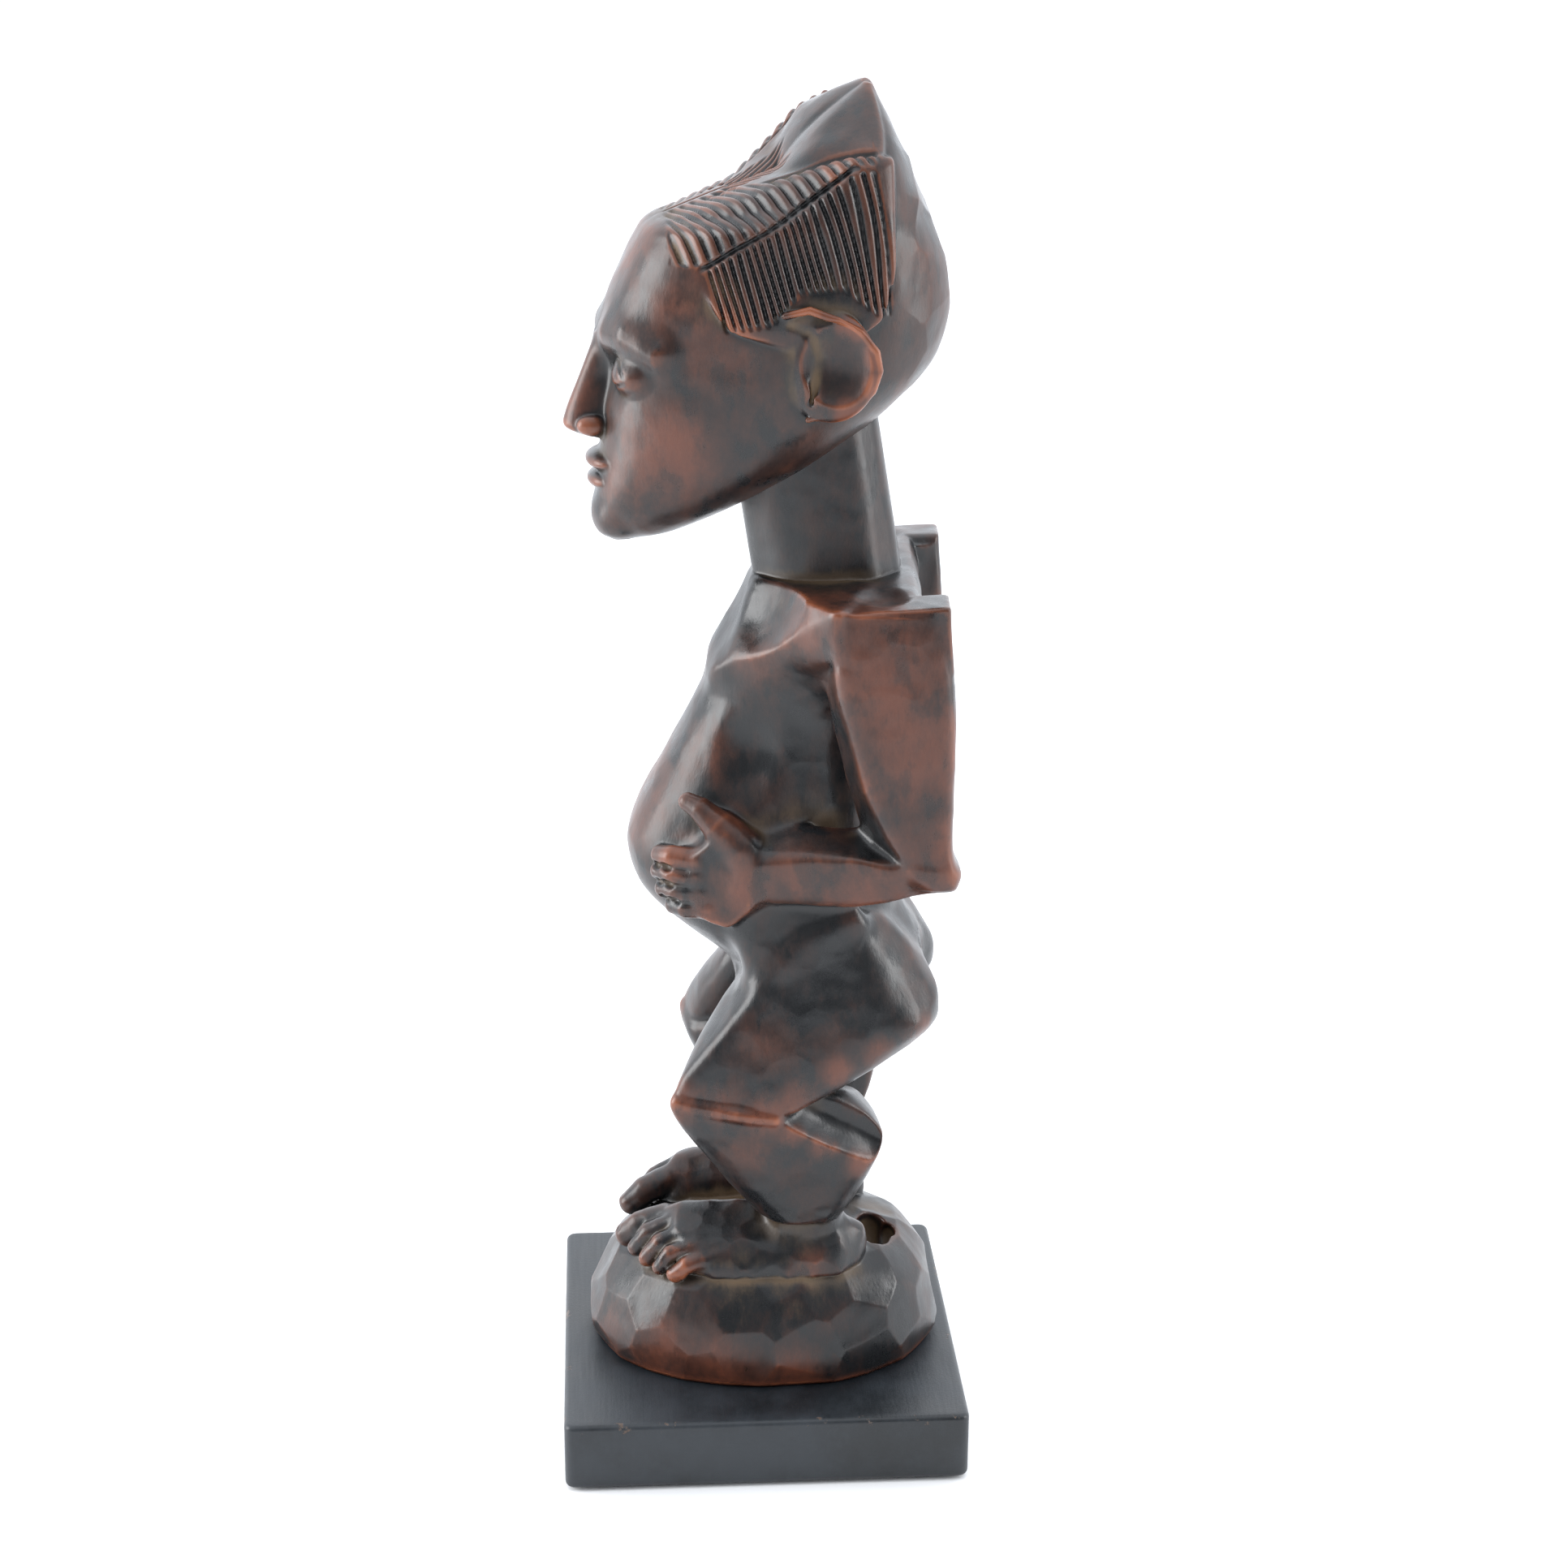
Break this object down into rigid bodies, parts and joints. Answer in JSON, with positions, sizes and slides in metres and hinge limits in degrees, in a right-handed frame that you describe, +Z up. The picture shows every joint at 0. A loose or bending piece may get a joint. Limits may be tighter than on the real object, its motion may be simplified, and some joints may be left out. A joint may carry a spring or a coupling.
{
  "type": "carved ancestor figure",
  "caption": "Carved wooden standing ancestor figure with bent legs, hands on the belly and a crested coiffure, screwed to a square painted plinth.",
  "frame": {"origin": "centre of the felt lining's underside, on the surface that the object stands on", "axes": "+Z up along the figure; the figure faces -Y, turned 4 degrees to its right on the plinth; its left side is +X"},
  "size_m": [0.12, 0.12, 0.4027],
  "materials": {
    "patinated_wood": "dark oiled patina with satin gloss, rubbed to reddish brown on its edges",
    "black_paint": "satin black paint on wood, brushed, worn along the edges",
    "black_felt": "matt felt",
    "screw_steel": "plain steel"
  },
  "bodies": {
    "root": {"carved_figure": "patinated_wood", "plinth": "black_paint", "felt_lining": "black_felt", "screw_front": "screw_steel", "screw_back": "screw_steel"}
  },
  "joints": []
}
